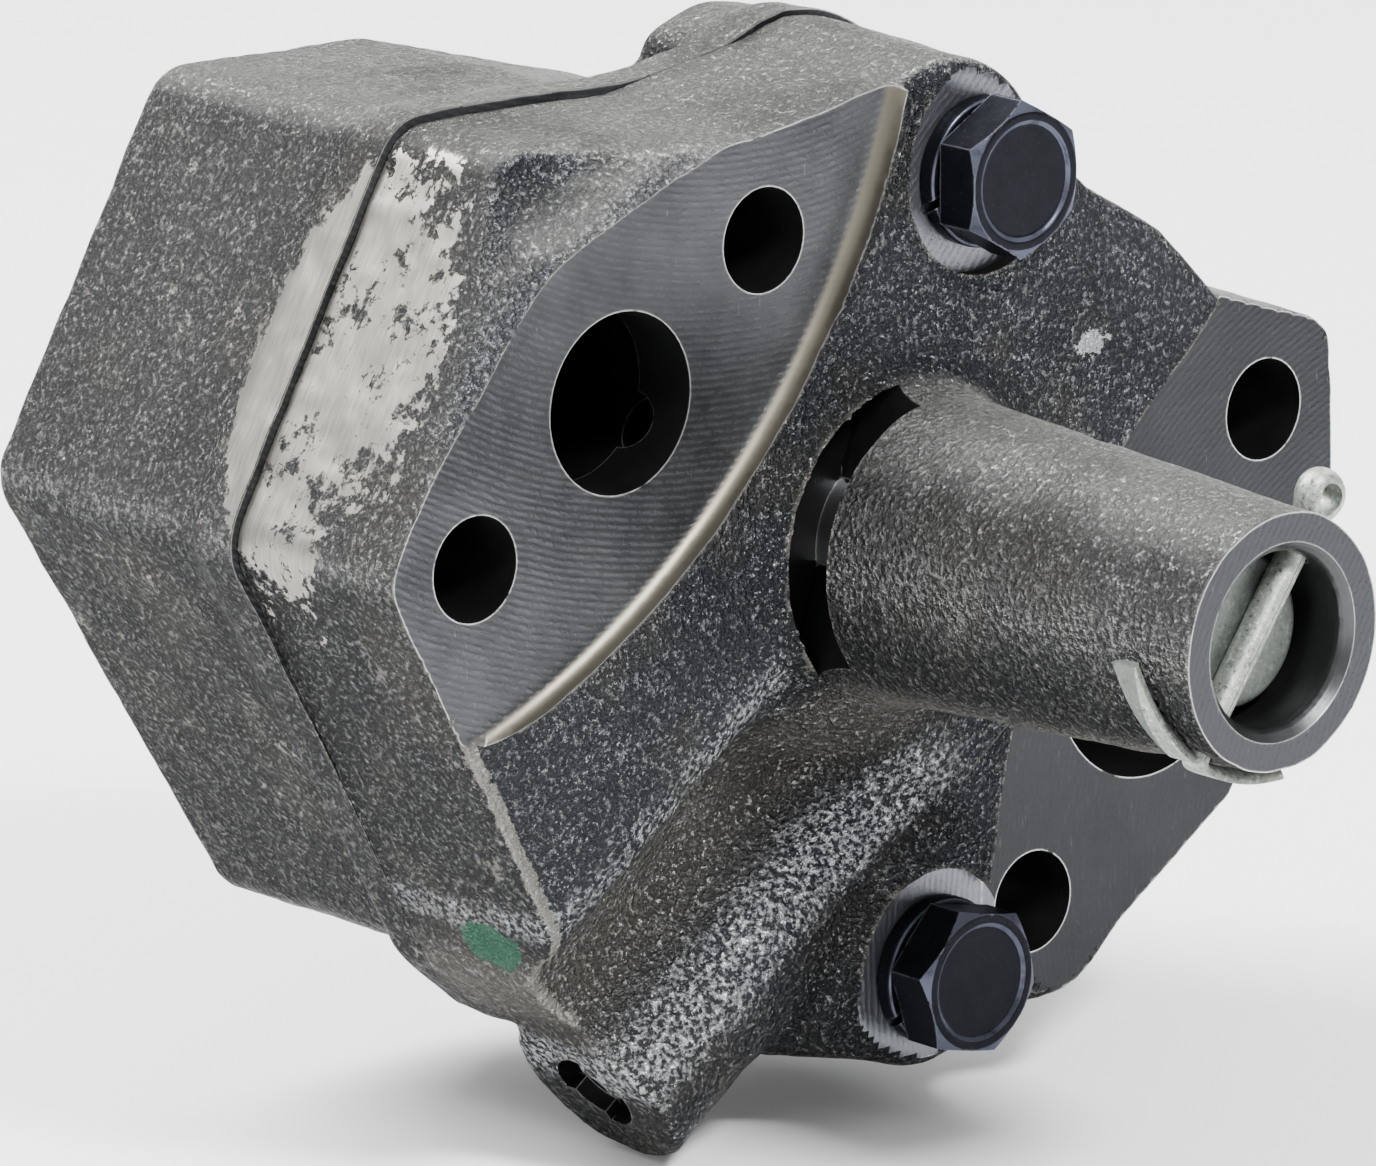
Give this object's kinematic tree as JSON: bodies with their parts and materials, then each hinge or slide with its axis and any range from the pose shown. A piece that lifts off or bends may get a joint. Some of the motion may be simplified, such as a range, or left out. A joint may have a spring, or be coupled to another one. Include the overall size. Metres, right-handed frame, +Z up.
{
  "type": "hydraulic gear pump",
  "caption": "External gear pump: cast body and ported front cover with a tubular relief valve, keyed drive shaft at the rear, flanged delivery and suction ports.",
  "frame": {"origin": "drive shaft axis where it leaves the rear mounting face", "axes": "+Y along the drive shaft, out of the rear face; -Y towards the ports and the valve tube; +Z up"},
  "size_m": [0.157, 0.168, 0.1334],
  "materials": {
    "cast_iron": "rough sand-cast iron, machined flanges",
    "ground_steel": "ground",
    "gear_steel": "cut and hardened",
    "bright_steel": "bright",
    "black_steel": "black oxide, oiled",
    "bronze": "turned bronze",
    "zinc_steel": "dull zinc plate"
  },
  "bodies": {
    "root": {"pump_body": "cast_iron", "front_cover": "cast_iron", "drive_bush_rear": "bronze", "drive_bush_front": "bronze", "idler_shaft": "ground_steel", "relief_spring": "bright_steel", "spring_seat": "zinc_steel", "cotter_pin": "zinc_steel", "passage_plug": "bright_steel", "upper_cover_bolt": "black_steel", "lower_cover_bolt": "black_steel", "upper_lock_washer": "black_steel", "lower_lock_washer": "black_steel", "locating_dowels": "bright_steel"},
    "drive_rotor": {"drive_shaft": "ground_steel", "drive_gear": "gear_steel", "drive_gear_key": "bright_steel", "drive_gear_ring": "black_steel"},
    "idler_rotor": {"idler_gear": "gear_steel", "idler_gear_bush": "bronze"},
    "valve_piston": {"relief_piston": "ground_steel"}
  },
  "joints": [
    {"name": "drive_spin", "type": "hinge", "parent": "root", "child": "drive_rotor", "pos_m": [0, 0, 0], "axis": [0, 1, 0], "continuous": true},
    {"name": "idler_spin", "type": "hinge", "parent": "root", "child": "idler_rotor", "pos_m": [-0.01549, 0, -0.02914], "axis": [0, 1, 0], "continuous": true},
    {"name": "valve_lift", "type": "slide", "parent": "root", "child": "valve_piston", "axis": [0, -1, 0], "range_m": [0, 0.014], "stiffness_N_per_m": 6000, "springref_m": -0.015, "deforming": ["relief_spring"]}
  ],
  "couplings": [
    {"joint": "idler_spin", "follows": "drive_spin", "ratio": -1}
  ]
}
